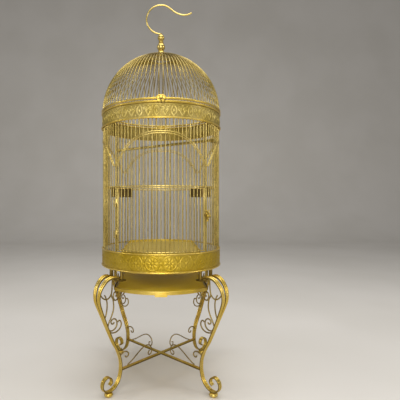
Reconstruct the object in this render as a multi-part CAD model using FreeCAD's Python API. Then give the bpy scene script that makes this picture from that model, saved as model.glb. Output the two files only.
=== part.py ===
import FreeCAD, Part
import math
import os

from FreeCAD import Vector

# Floor-standing bird cage: a four-legged scrolled stand, a round wire cage that rests on it,
# a domed lid with a hanging hook, a curved front door, a slide-out catch tray and two feeder cups.
# Millimetres, +Z up, the front faces -Y. The origin is on the floor, on the cage's axis.

# ---------------------------------------------------------------- driving dimensions
BAND_R = 200.0              # outer radius of the two sheet bands
BAND_WALL = 1.2
WIRE_CIRCLE_R = 197.4       # centre line of the upright wires
WIRE_D = 3.0
WIRE_COUNT = 96
RIB_D = 5.5                 # the four thick uprights
RIB_ANGLES = (45.0, 135.0, 225.0, 315.0)
WELD = 0.3                  # depth by which welded wires sink into each other

BASE_Z = 378.0              # underside of the cage
BASE_BAND_TOP = 435.0
BASE_RING_R = 3.0           # tube radius of the ring under the base band
BASE_BEAD_R = 2.2
FLOOR_RING_Z = 431.0        # ring and bars that carry the floor
FLOOR_RING_R = 2.0
FLOOR_BAR_X = (-120.0, -60.0, 0.0, 60.0, 120.0)
FLOOR_PLATE_R = 193.4
FLOOR_WALL = 1.2
PAN_HALF_WIDTH = 121.0
PAN_R = 188.0
PAN_LIP = 6.0
WIRE_FOOT_Z = 412.0
MID_RING_Z = 637.0
MID_RING_R = 2.2
ARCH_FOOT_Z = 700.0
ARCH_RISE = 98.0
ARCH_GAP = 6.0              # distance between the two wires of an arch
ARCH_FULLNESS = 2.6         # 2 is a parabola, more is rounder at the shoulders
ARCH_HALF_SPAN = 44.4
UPPER_BAND_Z = (837.0, 884.5)
UPPER_LOWER_RING_R = 2.6
RIM_RING_R = 3.25           # tube radius of the band's top ring and of the lid's ring
RIM_CIRCLE_R = 200.8
PERCH_Z = 784.0
PERCH_D = 9.0
PERCH_CAP = (6.5, 5.0, 3.5, 3.5)      # radius, straight part, radius at the tip, slope's length
PERCH_WASHER = (8.0, 2.0)             # radius, thickness
PERCH_PROUD = 3.0                     # the rod's ends outside the wires' middle
PERCH_ANGLE = -35.625       # between two uprights

DOOR_GAP = 1.5              # clearance above and below the door
DOOR_EDGE_ANGLE = 2.6       # from a rib to the door's edge bar
DOOR_BAR_D = 5.0
DOOR_ARC_D = 3.5
DOOR_HINGE_R = 202.9
DOOR_HINGE_ANGLE = 225.0 + DOOR_EDGE_ANGLE / 2
DOOR_HINGE_Z = (490.0, 586.0)
KNUCKLE_R = 3.4
PIN_R = 1.45
PIN_CLEARANCE = 0.05
PLAY = 0.3                  # gap between pieces that move past each other

LATCH_Z = 548.0
LATCH_PLATE_R = 206.0       # inner face of the latch lever, from the axis
LATCH_THICKNESS = 3.2

LID_Z = 893.0
LID_R = 199.0               # the lid is a half sphere of wires
LID_WIRE_D = 2.6
LID_WIRE_COUNT = 88
LID_LONG_END_R = 22.0
LID_SHORT_END_R = 42.0
LID_HINGE_Y = 208.3
LID_HINGE_Z = 888.75
LID_HINGE_WIDTH = 44.0
LID_KNUCKLE_R = 3.8

CAP_Z = 1088.0
CAP_R = 21.0
FINIAL_BALLS = ((1101.0, 14.0), (1126.0, 14.0))
FINIAL_TOP = 1146.5
HOOK_BALL = (1158.0, 11.5)
HOOK_WIRE_D = 5.4
HOOK_ARC_R = 50.0
HOOK_ARC_Z = 1222.0
SWIVEL_PIN_R = 3.0

CUP_ANGLES = {"left": 150.0, "right": 30.0}
CUP_BACK_R = 185.0          # distance of the cup's flat back from the axis
CUP_SIZE = (86.0, 42.0, 34.0)
CUP_CORNER_R = 14.0
CUP_TOP_Z = 641.0
CUP_WALL = 1.4
CUP_HOOK_ANGLE = 9.375      # the hooks pass between two uprights

TRAY_HALF_WIDTH = 141.0
TRAY_FRONT_R = 203.0
TRAY_BACK_Y = 138.0
TRAY_Z = 325.2
TRAY_WALL = 1.2
TRAY_RIM_R = 2.6
TRAY_LIP_HEIGHT = 9.0
TRAY_LIP_WALL = 1.6
PULL_SIZE = (38.0, 3.5, 9.0)
RAIL_X = (129.0, 142.0, 145.0)   # ledge's inner edge, web's inner face, web's outer face
RAIL_REACH = 144.0
RAIL_HANGER = 8.0
RAIL_WALL = 3.0
TIE_R = 3.5
TIE_Y = 105.0
STOP_R = 3.0

POST_D = 10.0
POST_R = 197.0
BRACKET_Z = 350.0
BRACKET_WALL = 3.5
BRACKET_R = (187.0, 211.0)
BRACKET_HALF_ANGLE = 10.5

LEG_ANGLES = {"front_left": 225.0, "front_right": 315.0, "rear_left": 135.0, "rear_right": 45.0}
STRAP_WIDTH = 9.6
STRAP_BACK = 2.6            # flat back to centre line
STRAP_FLUTE = 2.4           # how far a flute stands out from the centre line
STRAP_GAP = 0.3             # half the gap between a leg's two straps
# centre line of a leg: distance from the axis, height, and how far each strap spreads sideways
LEG_LINE = (
    (200, 353, 20.8), (212, 360.5, 18.2), (226, 362, 15.8), (242, 356, 13.2), (254, 345, 11.3),
    (264, 329, 8.8), (268, 312, 6.9), (267, 295, 5.4), (262, 279, 4.0), (250, 250, 1.6),
    (229.5, 203, 0), (208, 157, 0), (193, 131, 0), (182, 102, 0), (179, 76, 0), (182, 53, 0),
    (190.5, 34, 0), (206, 20, 0), (224, 15, 0), (239, 20, 0), (247.5, 34, 0), (244, 49.5, 0),
    (231.5, 58, 0), (219, 52.5, 0), (215.5, 41, 0), (223, 33.5, 0),
)
FOOT_FLAT_R = 7.0
FOOT_AT = 225.0
FOOT_HEIGHT = 12.6

SCROLL_D = 4.2
# scrollwork inside each leg: distance from the axis and height along each wire
LEG_SCROLLS = {
    "shoulder_loop": ((255, 336), (256, 316), (246, 301), (231, 295), (218, 303), (212, 322),
                      (210, 351)),
    "upper_s": ((240, 309), (231, 286), (231, 266), (238, 240), (242, 233)),
    "inner_loop": ((214.5, 309), (211, 296), (198, 286.5), (185, 294), (177, 307), (169, 314),
                   (163, 307), (168, 301)),
    "inner_curl": ((203, 290), (207, 302), (201, 312), (193, 308), (194, 300), (199, 300)),
    "lower_s": ((209, 294), (206, 278), (206, 262), (211, 246), (219, 231), (228, 209)),
    "heart_inner": ((223, 200), (208, 196), (196, 204), (193, 218), (200, 229), (211, 229.5),
                    (215.5, 221), (209, 215.5), (204, 220)),
    "heart_outer": ((221, 194), (204, 187.5), (190, 190), (179, 199), (176, 211), (182, 220.5),
                    (190, 217)),
    "ankle_curl": ((181.5, 104), (173, 114.5), (160, 117.5), (149, 112), (147, 103), (154, 98.5),
                   (160, 104)),
}

STRETCHER_Z = 68.0
STRETCHER_REACH = 176.6     # half length of each crossing bar
STRETCHER_WIDTH = 10.0
STRETCHER_SCROLL_D = 3.6
# arch on each half bar: distance from the crossing and height
STRETCHER_SCROLL = ((150, 73), (122, 87), (92, 105), (68, 112), (51, 105), (45, 90), (50, 78.5),
                    (59.5, 79), (60, 88), (54, 89))


# ---------------------------------------------------------------- helpers
def at(radius, angle, z):
    """Point at a distance and an angle in degrees around the cage's axis."""
    turn = math.radians(angle)
    return Vector(radius * math.cos(turn), radius * math.sin(turn), z)


def outward(angle):
    return at(1.0, angle, 0.0)


def sideways(angle):
    """Unit vector along the circle, towards larger angles."""
    return at(1.0, angle + 90.0, 0.0)


def rod(start, end, radius):
    return Part.makeCylinder(radius, (end - start).Length, start, end - start)


def upright(radius, angle, z_low, z_high, rod_radius):
    return rod(at(radius, angle, z_low), at(radius, angle, z_high), rod_radius)


def turned(face, span=360.0):
    """Solid from a face in the XZ plane, turned about the cage's axis."""
    return face.revolve(Vector(0, 0, 0), Vector(0, 0, 1), span)


def hoop(circle_r, tube_r, z, start=0.0, span=360.0):
    """Round wire bent to a circle or a part of one."""
    ring = turned(Part.Face(Part.Wire(Part.makeCircle(
        tube_r, Vector(circle_r, 0, z), Vector(0, 1, 0)))), span)
    ring.rotate(Vector(0, 0, 0), Vector(0, 0, 1), start)
    return ring


def sheet_ring(outer_r, wall, z_low, z_high, start=0.0, span=360.0):
    """Upright sheet bent to a circle or a part of one."""
    corners = [Vector(outer_r - wall, 0, z_low), Vector(outer_r, 0, z_low),
               Vector(outer_r, 0, z_high), Vector(outer_r - wall, 0, z_high)]
    ring = turned(Part.Face(Part.makePolygon(corners + corners[:1])), span)
    ring.rotate(Vector(0, 0, 0), Vector(0, 0, 1), start)
    return ring


def smooth_line(points):
    curve = Part.BSplineCurve()
    curve.interpolate(points)
    return curve.toShape()


def swept(path, profile, side=None):
    """Profile drawn along a path; side keeps one direction of the profile fixed."""
    maker = Part.BRepOffsetAPI.MakePipeShell(Part.Wire(path))
    if side:
        maker.setBiNormalMode(side)
    maker.add(profile)
    maker.build()
    maker.makeSolid()
    return maker.shape()


def bent_wire(points, diameter, side):
    """Round wire along a smooth line that lies in a plane square to side."""
    path = smooth_line(points)
    tangent = path.tangentAt(path.FirstParameter)
    start = path.valueAt(path.FirstParameter)
    profile = Part.Wire(Part.makeCircle(diameter / 2, start, tangent))
    return swept(path, profile, side)


def fused(first, *others):
    return first.fuse(list(others)).removeSplitter()


def save(node, *solids):
    """Write one node; a node of several pieces is a compound of separate solids."""
    shape = solids[0] if len(solids) == 1 else Part.makeCompound(list(solids))
    for solid in shape.Solids:
        if not solid.isValid() or solid.Volume <= 0:
            print("bad solid in", node)
    shape.exportStep(f"parts/{node}.step")
    print(f"{node}: {len(shape.Solids)} solids, {shape.Volume:.0f} mm3")


# ---------------------------------------------------------------- stand
def flute_profile(centre, tangent, side):
    """Strap section: a flat back and two round flutes on the outer face."""
    out = side.cross(tangent).normalize()
    half = STRAP_WIDTH / 2

    def place(across, up):
        return centre + side * across + out * up

    back_left = place(-half, -STRAP_BACK)
    back_right = place(half, -STRAP_BACK)
    edge_left = place(-half, 0)
    edge_right = place(half, 0)
    middle = place(0, 0)
    right_flute = Part.Arc(edge_right, place(half / 2, STRAP_FLUTE), middle)
    left_flute = Part.Arc(middle, place(-half / 2, STRAP_FLUTE), edge_left)
    return Part.Wire([
        Part.makeLine(back_left, back_right), Part.makeLine(back_right, edge_right),
        right_flute.toShape(), left_flute.toShape(), Part.makeLine(edge_left, back_left),
    ])


def strap_across(spread):
    """Distance from the leg's middle to the middle of a strap."""
    return spread + STRAP_GAP + STRAP_WIDTH / 2


def leg_strap(angle, hand):
    """One of a leg's two fluted straps; hand is +1 or -1."""
    out, side = outward(angle), sideways(angle)
    points = [out * r + side * (hand * strap_across(spread)) + Vector(0, 0, z)
              for r, z, spread in LEG_LINE]
    path = smooth_line(points)
    tangent = path.tangentAt(path.FirstParameter)
    start = path.valueAt(path.FirstParameter)
    return swept(path, flute_profile(start, tangent, side), side)


def leg_scrolls(angle):
    out, side = outward(angle), sideways(angle)
    wires = []
    for line in LEG_SCROLLS.values():
        points = [out * r + Vector(0, 0, z) for r, z in line]
        wires.append(bent_wire(points, SCROLL_D, side))
    return wires


def foot_pad(angle):
    """Flattened ball under the foot scroll, flat on the floor."""
    tube = FOOT_HEIGHT / 2
    cushion = Part.makeTorus(FOOT_FLAT_R, tube, at(FOOT_AT, angle, tube))
    core = Part.makeCylinder(FOOT_FLAT_R, FOOT_HEIGHT, at(FOOT_AT, angle, 0))
    return fused(cushion, core)


def stretcher_bar(angle, start, end):
    """Fluted bar from start to end, measured from the crossing along the angle."""
    out, side = outward(angle), sideways(angle)
    half, top = STRETCHER_WIDTH / 2, 1.0
    base = out * start + Vector(0, 0, STRETCHER_Z)

    def place(across, up):
        return base + side * across + Vector(0, 0, up)

    lower = [place(-half, -half), place(half, -half)]
    right_flute = Part.Arc(place(half, top), place(half / 2, top + half / 2), place(0, top))
    left_flute = Part.Arc(place(0, top), place(-half / 2, top + half / 2), place(-half, top))
    section = Part.Wire([
        Part.makeLine(*lower), Part.makeLine(lower[1], place(half, top)),
        right_flute.toShape(), left_flute.toShape(), Part.makeLine(place(-half, top), lower[0]),
    ])
    return Part.Face(section).extrude(out * (end - start))


def stretcher_scroll(angle):
    out, side = outward(angle), sideways(angle)
    points = [out * reach + Vector(0, 0, z) for reach, z in STRETCHER_SCROLL]
    return bent_wire(points, STRETCHER_SCROLL_D, side)


def corner_bracket(angle):
    inner, outer = BRACKET_R
    start = angle - BRACKET_HALF_ANGLE
    return sheet_ring(outer, outer - inner, BRACKET_Z, BRACKET_Z + BRACKET_WALL, start,
                      2 * BRACKET_HALF_ANGLE)


def cage_posts(angle):
    turn = math.degrees(math.asin(strap_across(LEG_LINE[0][2]) / POST_R))
    low, high = BRACKET_Z + BRACKET_WALL - WELD, BASE_Z - PLAY
    return [upright(POST_R, angle + hand * turn, low, high, POST_D / 2) for hand in (1, -1)]


def rail_ledge():
    """Underside and top of the ledge that the tray's rolled rim slides on."""
    top = TRAY_Z - TRAY_RIM_R - PLAY
    return top - RAIL_WALL, top


def tray_rail(hand):
    """Angle rail with a hanger at each end, under the corner brackets."""
    ledge_x, web_x, outer_x = RAIL_X
    low, top = rail_ledge()
    web = outer_x - web_x
    parts = [Part.makeBox(outer_x - ledge_x, 2 * RAIL_REACH, top - low,
                          Vector(ledge_x, -RAIL_REACH, low)),
             Part.makeBox(web, 2 * RAIL_REACH, 3 * RAIL_WALL, Vector(web_x, -RAIL_REACH, low))]
    for y in (-RAIL_REACH, RAIL_REACH - RAIL_HANGER):
        parts.append(Part.makeBox(web, RAIL_HANGER, BRACKET_Z + WELD - low,
                                  Vector(web_x, y, low)))
    rail = fused(*parts)
    return rail if hand > 0 else rail.mirror(Vector(0, 0, 0), Vector(1, 0, 0))


def build_stand():
    for name, angle in LEG_ANGLES.items():
        save(f"leg_{name}", leg_strap(angle, 1), leg_strap(angle, -1))
        save(f"leg_scrollwork_{name}", *leg_scrolls(angle))
    angles = list(LEG_ANGLES.values())
    save("foot_pads", *[foot_pad(angle) for angle in angles])
    save("stretcher_long_bar", stretcher_bar(45.0, -STRETCHER_REACH, STRETCHER_REACH))
    near = STRETCHER_WIDTH / 2 - WELD
    save("stretcher_half_bars", *[stretcher_bar(angle, near, STRETCHER_REACH)
                                  for angle in (135.0, 315.0)])
    save("stretcher_scrollwork", *[stretcher_scroll(angle) for angle in angles])
    save("corner_brackets", *[corner_bracket(angle) for angle in angles])
    save("cage_rest_posts", *[post for angle in angles for post in cage_posts(angle)])
    save("tray_rails", tray_rail(1), tray_rail(-1))
    tie_x, tie_z = RAIL_X[1], rail_ledge()[0] - TIE_R + WELD
    save("tray_cross_ties", *[rod(Vector(-tie_x, y, tie_z), Vector(tie_x, y, tie_z), TIE_R)
                              for y in (-TIE_Y, TIE_Y)])
    stop_x, stop_y = RAIL_X[1] + WELD, TRAY_BACK_Y + STOP_R + 2 * PLAY
    save("tray_back_stop", rod(Vector(-stop_x, stop_y, TRAY_Z), Vector(stop_x, stop_y, TRAY_Z),
                               STOP_R))


# ---------------------------------------------------------------- catch tray
def tray_outline(shrink, z):
    """D-shaped edge of the tray: straight sides and back, front bent round the cage's axis."""
    half, front_r = TRAY_HALF_WIDTH - shrink, TRAY_FRONT_R - shrink
    back = TRAY_BACK_Y - shrink
    front_y = -math.sqrt(front_r ** 2 - half ** 2)
    corners = [Vector(half, front_y, z), Vector(half, back, z), Vector(-half, back, z),
               Vector(-half, front_y, z)]
    front = Part.Arc(corners[3], Vector(0, -front_r, z), corners[0])
    return [Part.makeLine(corners[0], corners[1]), Part.makeLine(corners[1], corners[2]),
            Part.makeLine(corners[2], corners[3]), front.toShape()]


def build_catch_tray():
    sheet = Part.Face(Part.Wire(tray_outline(TRAY_RIM_R, TRAY_Z)))
    save("catch_tray_sheet", sheet.extrude(Vector(0, 0, TRAY_WALL)))
    edges = tray_outline(TRAY_RIM_R, TRAY_Z + TRAY_WALL / 2)
    right, back, left, front = edges
    bars = [rod(edge.Vertexes[0].Point, edge.Vertexes[1].Point, TRAY_RIM_R)
            for edge in (right, back, left)]
    balls = [Part.makeSphere(TRAY_RIM_R, edge.Vertexes[0].Point) for edge in edges]
    reach = math.degrees(math.asin((TRAY_HALF_WIDTH - TRAY_RIM_R) / (TRAY_FRONT_R - TRAY_RIM_R)))
    bow = hoop(TRAY_FRONT_R - TRAY_RIM_R, TRAY_RIM_R, TRAY_Z + TRAY_WALL / 2, 270 - reach,
               2 * reach)
    save("catch_tray_rolled_rim", fused(bow, *bars, *balls))
    lip_top = TRAY_Z + TRAY_WALL
    lip = sheet_ring(TRAY_FRONT_R, TRAY_LIP_WALL, lip_top - TRAY_LIP_HEIGHT, lip_top,
                     270 - reach, 2 * reach)
    save("catch_tray_front_lip", lip)
    save("catch_tray_pull", tray_pull(lip_top - TRAY_LIP_HEIGHT / 2))


def tray_pull(top):
    """Flat pull with round ends, fixed on the lower half of the lip."""
    width, depth, height = PULL_SIZE
    end_r = height / 2
    reach = width / 2 - end_r
    back, middle = -TRAY_FRONT_R + WELD, top - end_r
    plate = Part.makeBox(2 * reach, depth, height, Vector(-reach, back - depth, top - height))
    ends = [rod(Vector(x, back, middle), Vector(x, back - depth, middle), end_r)
            for x in (-reach, reach)]
    return fused(plate, *ends)


# ---------------------------------------------------------------- cage
def pan_outline(radius, half, z):
    """Straight sides, ends bent round the cage's axis."""
    y = math.sqrt(radius ** 2 - half ** 2)
    corners = [Vector(half, -y, z), Vector(half, y, z), Vector(-half, y, z), Vector(-half, -y, z)]
    back = Part.Arc(corners[1], Vector(0, radius, z), corners[2])
    front = Part.Arc(corners[3], Vector(0, -radius, z), corners[0])
    return Part.Wire([Part.makeLine(corners[0], corners[1]), back.toShape(),
                      Part.makeLine(corners[2], corners[3]), front.toShape()])


def floor_pan(z):
    """Shallow pan that lies on the floor plate."""
    low = Part.Face(pan_outline(PAN_R, PAN_HALF_WIDTH, z))
    floor = Part.Face(pan_outline(PAN_R - FLOOR_WALL, PAN_HALF_WIDTH - FLOOR_WALL,
                                  z + FLOOR_WALL))
    block = low.extrude(Vector(0, 0, FLOOR_WALL + PAN_LIP))
    return block.cut(floor.extrude(Vector(0, 0, PAN_LIP + 1)))


def floor_bars():
    """Round bars from side to side of the floor ring."""
    reach = WIRE_CIRCLE_R - WIRE_D / 2 - 2 * FLOOR_RING_R + WELD
    bars = []
    for x in FLOOR_BAR_X:
        y = math.sqrt(reach ** 2 - x ** 2) + WELD
        bars.append(rod(Vector(x, -y, FLOOR_RING_Z), Vector(x, y, FLOOR_RING_Z), FLOOR_RING_R))
    return bars


def build_floor():
    ring_circle = WIRE_CIRCLE_R - WIRE_D / 2 - FLOOR_RING_R + WELD
    save("floor_support_ring", hoop(ring_circle, FLOOR_RING_R, FLOOR_RING_Z))
    save("floor_support_bars", *floor_bars())
    plate_z = FLOOR_RING_Z + FLOOR_RING_R
    save("floor_plate", Part.makeCylinder(FLOOR_PLATE_R, FLOOR_WALL, Vector(0, 0, plate_z)))
    save("floor_pan", floor_pan(plate_z + FLOOR_WALL))


def upright_angles():
    """Angles of the plain uprights, split into those beside the door and those above it."""
    pitch = 360.0 / WIRE_COUNT
    beside, above = [], []
    for step in range(WIRE_COUNT):
        angle = step * pitch
        if angle in RIB_ANGLES:
            continue
        over_door = RIB_ANGLES[2] < angle < RIB_ANGLES[3]
        (above if over_door else beside).append(angle)
    return beside, above


def arch_wire(middle, half_span, rise):
    """Wire bent to a round arch on the outside of the uprights."""
    radius = WIRE_CIRCLE_R + WIRE_D - WELD
    points = []
    for step in range(-8, 9):
        turn = half_span * step / 8
        z = ARCH_FOOT_Z + rise * (1 - abs(step / 8) ** ARCH_FULLNESS)
        points.append(at(radius, middle + turn, z))
    path = smooth_line(points)
    tangent = path.tangentAt(path.FirstParameter)
    profile = Part.Wire(Part.makeCircle(WIRE_D / 2, points[0], tangent))
    return swept(path, profile)


def arches():
    wires = []
    for middle in (0.0, 90.0, 180.0, 270.0):
        wires.append(arch_wire(middle, ARCH_HALF_SPAN, ARCH_RISE))
        inner_span = ARCH_HALF_SPAN - math.degrees(ARCH_GAP / WIRE_CIRCLE_R)
        wires.append(arch_wire(middle, inner_span, ARCH_RISE - ARCH_GAP))
    return wires


def perch():
    out = outward(PERCH_ANGLE)
    centre = Vector(0, 0, PERCH_Z)
    reach = WIRE_CIRCLE_R + PERCH_PROUD
    bar = rod(centre - out * reach, centre + out * reach, PERCH_D / 2)
    washer_r, thickness = PERCH_WASHER
    cap_r, straight, tip_r, slope = PERCH_CAP
    inner = WIRE_CIRCLE_R - WIRE_D / 2 - PLAY
    fittings = []
    for side in (out, -out):
        washer = rod(centre + side * inner, centre + side * (inner - thickness), washer_r)
        fittings.append(washer.cut(bar))
        cap = rod(centre + side * reach, centre + side * (reach + straight), cap_r)
        tip = Part.makeCone(cap_r, tip_r, slope, centre + side * (reach + straight), side)
        fittings.append(fused(cap, tip))
    return bar, fittings


def mid_ring_sides():
    """Distance from the axis to the mid ring's inner and outer sides."""
    centre = WIRE_CIRCLE_R - WIRE_D / 2 - MID_RING_R + WELD
    return centre - MID_RING_R, centre + MID_RING_R


def build_cage():
    bead_r = BAND_R + 0.6
    save("base_band", sheet_ring(BAND_R, BAND_WALL, BASE_Z + BASE_RING_R, BASE_BAND_TOP))
    save("base_top_bead", hoop(bead_r, BASE_BEAD_R, BASE_BAND_TOP))
    save("base_bottom_ring", hoop(bead_r, BASE_RING_R, BASE_Z + BASE_RING_R))
    build_floor()

    wire_top = UPPER_BAND_Z[1] - RIM_RING_R - PLAY
    beside, above = upright_angles()
    wire_r = WIRE_D / 2
    long_wires = [upright(WIRE_CIRCLE_R, angle, WIRE_FOOT_Z, wire_top, wire_r)
                  for angle in beside]
    short_wires = [upright(WIRE_CIRCLE_R, angle, MID_RING_Z, wire_top, wire_r)
                   for angle in above]
    save("body_wires", *long_wires, *short_wires)
    rib_circle = WIRE_CIRCLE_R - (RIB_D - WIRE_D) / 2 + WELD
    save("ribs", *[upright(rib_circle, angle, WIRE_FOOT_Z, wire_top, RIB_D / 2)
                   for angle in RIB_ANGLES])
    mid_circle = WIRE_CIRCLE_R - WIRE_D / 2 - MID_RING_R + WELD
    save("mid_ring", hoop(mid_circle, MID_RING_R, MID_RING_Z))
    save("arch_wires", *arches())
    low, high = UPPER_BAND_Z
    save("upper_band", sheet_ring(BAND_R, BAND_WALL, low, high - RIM_RING_R + WELD))
    save("upper_band_lower_ring", hoop(BAND_R + UPPER_LOWER_RING_R - BAND_WALL / 2,
                                       UPPER_LOWER_RING_R, low))
    save("upper_band_rim_ring", hoop(RIM_CIRCLE_R, RIM_RING_R, high))
    bar, fittings = perch()
    save("perch_rod", bar)
    save("perch_washers", *fittings)


# ---------------------------------------------------------------- door
def door_knuckle(z_low, z_high, target, bored):
    """Hinge barrel with a web that reaches to the upright it is welded to."""
    axis = at(DOOR_HINGE_R, DOOR_HINGE_ANGLE, 0)
    barrel = rod(axis + Vector(0, 0, z_low), axis + Vector(0, 0, z_high), KNUCKLE_R)
    reach = target - axis
    reach.z = 0
    web = Part.makeBox(reach.Length - 1.0, 2.4, z_high - z_low, Vector(0, -1.2, 0))
    web.rotate(Vector(0, 0, 0), Vector(0, 0, 1), math.degrees(math.atan2(reach.y, reach.x)))
    web.translate(axis + Vector(0, 0, z_low))
    knuckle = fused(barrel, web)
    if bored:
        hole = rod(axis + Vector(0, 0, z_low - 1), axis + Vector(0, 0, z_high + 1),
                   PIN_R + PIN_CLEARANCE)
        return knuckle.cut(hole)
    pin = rod(axis + Vector(0, 0, z_low - 12), axis + Vector(0, 0, z_low + 1), PIN_R)
    return fused(knuckle, pin)


def build_door():
    edge_angles = (RIB_ANGLES[2] + DOOR_EDGE_ANGLE, RIB_ANGLES[3] - DOOR_EDGE_ANGLE)
    low = BASE_BAND_TOP + BASE_BEAD_R + DOOR_GAP
    high = MID_RING_Z - MID_RING_R - DOOR_GAP
    bar_circle = WIRE_CIRCLE_R
    save("door_edge_bars", *[upright(bar_circle, angle, low, high, DOOR_BAR_D / 2)
                             for angle in edge_angles])
    arc_r = DOOR_ARC_D / 2
    arc_circle = WIRE_CIRCLE_R - WIRE_D / 2 - arc_r + WELD
    span = edge_angles[1] - edge_angles[0]
    save("door_rails", *[hoop(arc_circle, arc_r, z, edge_angles[0], span)
                         for z in (low + arc_r, high - arc_r)])
    _, angles = upright_angles()
    save("door_wires", *[upright(WIRE_CIRCLE_R, angle, low, high, WIRE_D / 2)
                         for angle in angles])
    rib = at(WIRE_CIRCLE_R, RIB_ANGLES[2], 0)
    bar = at(bar_circle, edge_angles[0], 0)
    fixed, moving = [], []
    for z in DOOR_HINGE_Z:
        fixed.append(door_knuckle(z - 12.0, z - PLAY, rib, True))
        moving.append(door_knuckle(z, z + 12.0, bar, False))
    save("door_hinge_sockets", *fixed)
    save("door_hinge_pintles", *moving)
    build_door_latch(edge_angles[1])


def build_door_latch(angle):
    """Stud on the door, swinging lever on the stud, and keeper peg on the rib."""
    out, side = outward(angle), sideways(angle)
    up = Vector(0, 0, 1)
    pivot = Vector(0, 0, LATCH_Z)
    face, back = LATCH_PLATE_R, LATCH_PLATE_R + LATCH_THICKNESS
    collar = rod(pivot + out * (WIRE_CIRCLE_R + 1.5), pivot + out * (face - PLAY), 3.2)
    pin = rod(pivot + out * (face - 1), pivot + out * (back + PLAY + 0.5), 1.9)
    head = rod(pivot + out * (back + PLAY), pivot + out * (back + PLAY + 1.6), 3.4)
    save("latch_stud", fused(collar, pin, head))
    middle = pivot + out * ((face + back) / 2)

    def place(across, height):
        return middle + side * across + up * height

    bore = rod(pivot + out * (face - 1), pivot + out * (back + 1), 1.9 + PIN_CLEARANCE)
    hub = rod(pivot + out * face, pivot + out * back, 4.6).cut(bore)
    wire_d = LATCH_THICKNESS - 0.4
    arm = bent_wire([place(3.6, 0), place(8, 0.2), place(14, -0.4), place(18, 2.5)], wire_d, out)
    curl = bent_wire([place(-3.2, 1.8), place(-8, 5), place(-8.5, 12), place(-2.5, 15),
                      place(2, 11.5), place(-1, 8.5)], wire_d, out)
    save("latch_lever", fused(hub, arm, curl))
    rib_out = outward(RIB_ANGLES[3])
    rib_side = sideways(RIB_ANGLES[3])
    peg_z = LATCH_Z - LATCH_THICKNESS / 2 - 2.0 - PLAY - 0.4
    peg_base = Vector(0, 0, peg_z)
    peg = rod(peg_base + rib_out * (WIRE_CIRCLE_R + 0.5), peg_base + rib_out * 211.0, 2.0)
    plane = peg_base + rib_out * (WIRE_CIRCLE_R + 4.6)

    def curl_at(across, height):
        return plane + rib_side * across + up * height

    scroll = bent_wire([curl_at(0, -1), curl_at(3.5, -5), curl_at(3, -11), curl_at(-2.5, -13.5),
                        curl_at(-5, -9.5), curl_at(-1.5, -7.5)], 2.8, rib_out)
    save("latch_keeper", fused(peg, scroll))


# ---------------------------------------------------------------- lid
def lid_wire(angle, end_r):
    """Quarter arc from the lid's ring towards the crown."""
    end_angle = math.degrees(math.acos(end_r / LID_R))
    section = Part.Face(Part.Wire(Part.makeCircle(
        LID_WIRE_D / 2, Vector(LID_R, 0, LID_Z), Vector(0, 0, 1))))
    wire = section.revolve(Vector(0, 0, LID_Z), Vector(0, -1, 0), end_angle)
    wire.rotate(Vector(0, 0, 0), Vector(0, 0, 1), angle)
    return wire


def finial():
    """Flared cap, two balls and a collar, bored for the hook's swivel pin."""
    flare = Part.makeCone(CAP_R, 12.0, 7.0, Vector(0, 0, CAP_Z + 2.0))
    disc = Part.makeCylinder(CAP_R, 2.0, Vector(0, 0, CAP_Z))
    spindle = Part.makeCylinder(6.0, FINIAL_TOP - CAP_Z - 1, Vector(0, 0, CAP_Z + 1))
    collar = Part.makeCylinder(8.0, 2.5, Vector(0, 0, FINIAL_TOP - 2.5))
    balls = [Part.makeSphere(r, Vector(0, 0, z)) for z, r in FINIAL_BALLS]
    bore = Part.makeCylinder(SWIVEL_PIN_R + PIN_CLEARANCE, 20, Vector(0, 0, FINIAL_TOP - 16))
    return fused(disc, flare, spindle, collar, *balls).cut(bore)


def lid_hinge():
    """Cage-side outer knuckles, lid-side middle knuckle and the pin through them."""
    third = LID_HINGE_WIDTH / 3
    centre = Vector(0, LID_HINGE_Y, LID_HINGE_Z)
    hole = rod(centre - Vector(30, 0, 0), centre + Vector(30, 0, 0), PIN_R)
    loose = rod(centre - Vector(30, 0, 0), centre + Vector(30, 0, 0), PIN_R + PIN_CLEARANCE)

    def knuckle(x_low, x_high, z_ring, cutter):
        barrel = rod(centre + Vector(x_low, 0, 0), centre + Vector(x_high, 0, 0), LID_KNUCKLE_R)
        sign = 1 if z_ring > LID_HINGE_Z else -1
        z_low = LID_HINGE_Z + (0.9 if sign > 0 else -6.5)
        y_ring = RIM_CIRCLE_R + RIM_RING_R - 1.2
        arm = Part.makeBox(x_high - x_low, LID_HINGE_Y - y_ring, 5.6, Vector(x_low, y_ring, z_low))
        return fused(barrel, arm).cut(cutter)

    low_ring = UPPER_BAND_Z[1]
    outer = [knuckle(-1.5 * third, -0.5 * third - PLAY, low_ring, hole),
             knuckle(0.5 * third + PLAY, 1.5 * third, low_ring, hole)]
    inner = knuckle(-0.5 * third, 0.5 * third, LID_Z, loose)
    reach = Vector(1.5 * third + 1.5, 0, 0)
    pin = rod(centre - reach, centre + reach, PIN_R)
    return outer, inner, pin


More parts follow.
